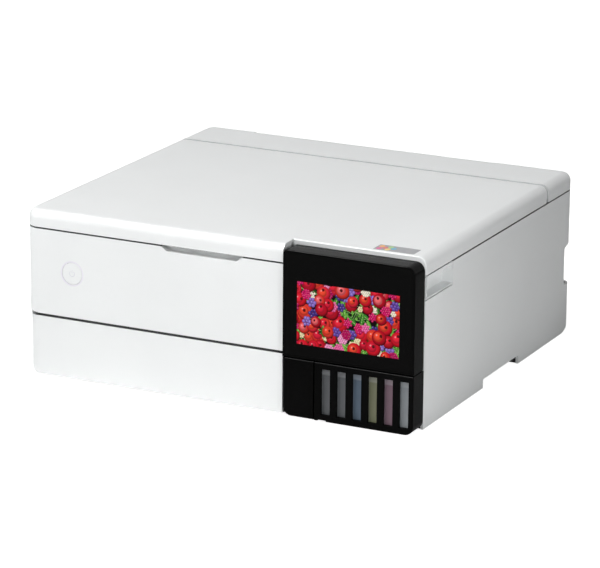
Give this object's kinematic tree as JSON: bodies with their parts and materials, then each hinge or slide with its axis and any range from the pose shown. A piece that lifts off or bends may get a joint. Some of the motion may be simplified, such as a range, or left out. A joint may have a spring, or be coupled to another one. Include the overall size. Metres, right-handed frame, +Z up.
{
  "type": "inkjet printer",
  "caption": "Flat all-in-one inkjet printer with a flatbed scanner, tilting touch panel, visible ink tanks, paper cassette, sliding output tray and rear paper support.",
  "frame": {"origin": "on the floor under the middle of the overall box", "axes": "+Z up, -Y towards the user (front with the touch panel), +X to the user's right"},
  "size_m": [0.403, 0.377, 0.162],
  "materials": {
    "white_shell": "fine-textured white ABS",
    "black_shell": "fine-textured black ABS",
    "gloss_black": "polished black ABS",
    "touch_glass": "dark cover glass",
    "clear_glass": "clear float glass",
    "screen": "liquid crystal display",
    "tank_clear": "translucent polypropylene",
    "ink": "liquid ink",
    "steel": "zinc-plated steel",
    "rubber": "moulded rubber",
    "white_pad": "white foam-backed sheet",
    "gear_white": "white acetal",
    "board": "glass-fibre circuit board",
    "grey_plastic": "grey ABS"
  },
  "bodies": {
    "chassis": {"base_pan": "black_shell", "rubber_feet": "rubber", "left_side_cover": "white_shell", "right_side_cover": "white_shell", "upper_front_panel": "white_shell", "power_light_ring": "tank_clear", "rear_panel": "white_shell", "rear_top_cover": "white_shell", "panel_mount": "black_shell", "tank_window_cover": "gloss_black", "card_reader": "black_shell", "ink_tanks": "tank_clear", "inks": "ink", "tank_caps": "grey_plastic", "main_frame": "steel", "steel_shafts": "steel", "paper_path": "black_shell", "carriage_belt": "rubber", "drive_motors": "steel", "hold_down_bars": "black_shell", "capping_station": "grey_plastic", "rear_sockets": "black_shell", "power_supply": "grey_plastic", "circuit_boards": "board", "casing_screws": "steel"},
    "scanner_unit": {"scanner_tub": "white_shell", "scanner_glass": "clear_glass", "scan_rod": "steel"},
    "scan_bar": {"scan_bar": "black_shell"},
    "document_cover": {"document_cover": "white_shell", "document_mat": "white_pad"},
    "control_panel": {"panel_housing": "gloss_black", "touch_glass": "touch_glass", "lcd_screen": "screen"},
    "power_button": {"power_button": "white_shell"},
    "card_door": {"card_door": "gloss_black"},
    "cassette": {"cassette_tray": "black_shell", "cassette_front": "white_shell", "paper_plate": "grey_plastic"},
    "guide_left": {"guide_left": "grey_plastic"},
    "guide_right": {"guide_right": "grey_plastic"},
    "guide_pinion": {"guide_pinion": "gear_white"},
    "end_guide": {"end_guide": "grey_plastic"},
    "output_tray": {"output_tray": "grey_plastic"},
    "tray_extension": {"tray_extension": "grey_plastic"},
    "paper_support": {"paper_support": "white_shell"},
    "support_extension": {"support_extension": "white_shell"},
    "duplex_unit": {"duplex_unit": "black_shell"},
    "maintenance_box": {"maintenance_box": "grey_plastic", "maintenance_cover": "white_shell"},
    "carriage": {"carriage": "black_shell", "print_head": "grey_plastic"},
    "drive_pulley": {"drive_pulley": "gear_white"},
    "idler_pulley": {"idler_pulley": "gear_white"},
    "feed_roller": {"feed_roller": "steel"},
    "eject_roller": {"eject_roller": "steel"},
    "idler_gear": {"idler_gear": "gear_white"},
    "motor_pinion": {"motor_pinion": "gear_white"},
    "pickup_arm": {"pickup_arm": "black_shell"},
    "pickup_roller": {"pickup_roller": "rubber"}
  },
  "joints": [
    {"name": "scanner_lift", "type": "hinge", "parent": "chassis", "child": "scanner_unit", "pos_m": [0, 0.1132, 0.1557], "axis": [-1, 0, 0], "range_deg": [0, 30]},
    {"name": "cover_lift", "type": "hinge", "parent": "scanner_unit", "child": "document_cover", "pos_m": [0, 0.1132, 0.1557], "axis": [-1, 0, 0], "range_deg": [0, 65]},
    {"name": "scan_travel", "type": "slide", "parent": "scanner_unit", "child": "scan_bar", "axis": [1, 0, 0], "range_m": [0, 0.285]},
    {"name": "panel_tilt", "type": "hinge", "parent": "chassis", "child": "control_panel", "pos_m": [0, -0.1688, 0.154], "axis": [-1, 0, 0], "range_deg": [0, 30]},
    {"name": "button_press", "type": "slide", "parent": "chassis", "child": "power_button", "axis": [0, 1, 0], "range_m": [0, 0.001], "stiffness_N_per_m": 400, "springref_m": -0.001},
    {"name": "card_door_hinge", "type": "hinge", "parent": "chassis", "child": "card_door", "pos_m": [0.0865, -0.183, 0.0068], "axis": [1, 0, 0], "range_deg": [0, 85]},
    {"name": "cassette_slide", "type": "slide", "parent": "chassis", "child": "cassette", "axis": [0, -1, 0], "range_m": [0, 0.25]},
    {"name": "guide_left_slide", "type": "slide", "parent": "cassette", "child": "guide_left", "axis": [1, 0, 0], "range_m": [0, 0.05]},
    {"name": "guide_right_slide", "type": "slide", "parent": "cassette", "child": "guide_right", "axis": [-1, 0, 0], "range_m": [0, 0.05]},
    {"name": "guide_pinion_spin", "type": "hinge", "parent": "cassette", "child": "guide_pinion", "pos_m": [-0.064, -0.065, 0.0073], "axis": [0, 0, -1], "range_deg": [0, 286.98]},
    {"name": "end_guide_slide", "type": "slide", "parent": "cassette", "child": "end_guide", "axis": [0, 1, 0], "range_m": [0, 0.084]},
    {"name": "output_tray_slide", "type": "slide", "parent": "chassis", "child": "output_tray", "axis": [0, -1, 0], "range_m": [0, 0.12]},
    {"name": "tray_extension_slide", "type": "slide", "parent": "output_tray", "child": "tray_extension", "axis": [0, -1, 0], "range_m": [0, 0.1]},
    {"name": "paper_support_lift", "type": "slide", "parent": "chassis", "child": "paper_support", "axis": [0, 0, 1], "range_m": [0, 0.052]},
    {"name": "support_extension_lift", "type": "slide", "parent": "paper_support", "child": "support_extension", "axis": [0, 0, 1], "range_m": [0, 0.05]},
    {"name": "duplex_pull", "type": "slide", "parent": "chassis", "child": "duplex_unit", "axis": [0, 1, 0], "range_m": [0, 0.06]},
    {"name": "maintenance_pull", "type": "slide", "parent": "chassis", "child": "maintenance_box", "axis": [0, 1, 0], "range_m": [0, 0.07]},
    {"name": "carriage_travel", "type": "slide", "parent": "chassis", "child": "carriage", "axis": [-1, 0, 0], "range_m": [0, 0.285]},
    {"name": "drive_pulley_spin", "type": "hinge", "parent": "chassis", "child": "drive_pulley", "pos_m": [0.164, 0.07, 0.096], "axis": [0, 1, 0], "range_deg": [0, 2722.55]},
    {"name": "idler_pulley_spin", "type": "hinge", "parent": "chassis", "child": "idler_pulley", "pos_m": [-0.178, 0.07, 0.096], "axis": [0, 1, 0], "range_deg": [0, 2722.55]},
    {"name": "feed_roller_spin", "type": "hinge", "parent": "chassis", "child": "feed_roller", "pos_m": [0, 0.074, 0.06], "axis": [1, 0, 0], "continuous": true},
    {"name": "eject_roller_spin", "type": "hinge", "parent": "chassis", "child": "eject_roller", "pos_m": [0, -0.02, 0.061], "axis": [1, 0, 0], "continuous": true},
    {"name": "idler_gear_spin", "type": "hinge", "parent": "chassis", "child": "idler_gear", "pos_m": [-0.198, 0.027, 0.0605], "axis": [1, 0, 0], "continuous": true},
    {"name": "motor_pinion_spin", "type": "hinge", "parent": "chassis", "child": "motor_pinion", "pos_m": [-0.198, 0.09545, 0.078], "axis": [1, 0, 0], "continuous": true},
    {"name": "pickup_arm_swing", "type": "hinge", "parent": "chassis", "child": "pickup_arm", "pos_m": [-0.064, 0.04, 0.0505], "axis": [1, 0, 0], "range_deg": [0, 7]},
    {"name": "pickup_roller_spin", "type": "hinge", "parent": "pickup_arm", "child": "pickup_roller", "pos_m": [-0.064, 0.085, 0.0206], "axis": [1, 0, 0], "continuous": true}
  ],
  "couplings": [
    {"joint": "guide_right_slide", "follows": "guide_left_slide", "ratio": 1},
    {"joint": "guide_pinion_spin", "follows": "guide_left_slide", "rad_per_m": 100},
    {"joint": "drive_pulley_spin", "follows": "carriage_travel", "rad_per_m": 166.67},
    {"joint": "idler_pulley_spin", "follows": "carriage_travel", "rad_per_m": 166.67},
    {"joint": "eject_roller_spin", "follows": "feed_roller_spin", "ratio": 1},
    {"joint": "idler_gear_spin", "follows": "feed_roller_spin", "ratio": -0.74074},
    {"joint": "motor_pinion_spin", "follows": "feed_roller_spin", "ratio": -2.5}
  ]
}
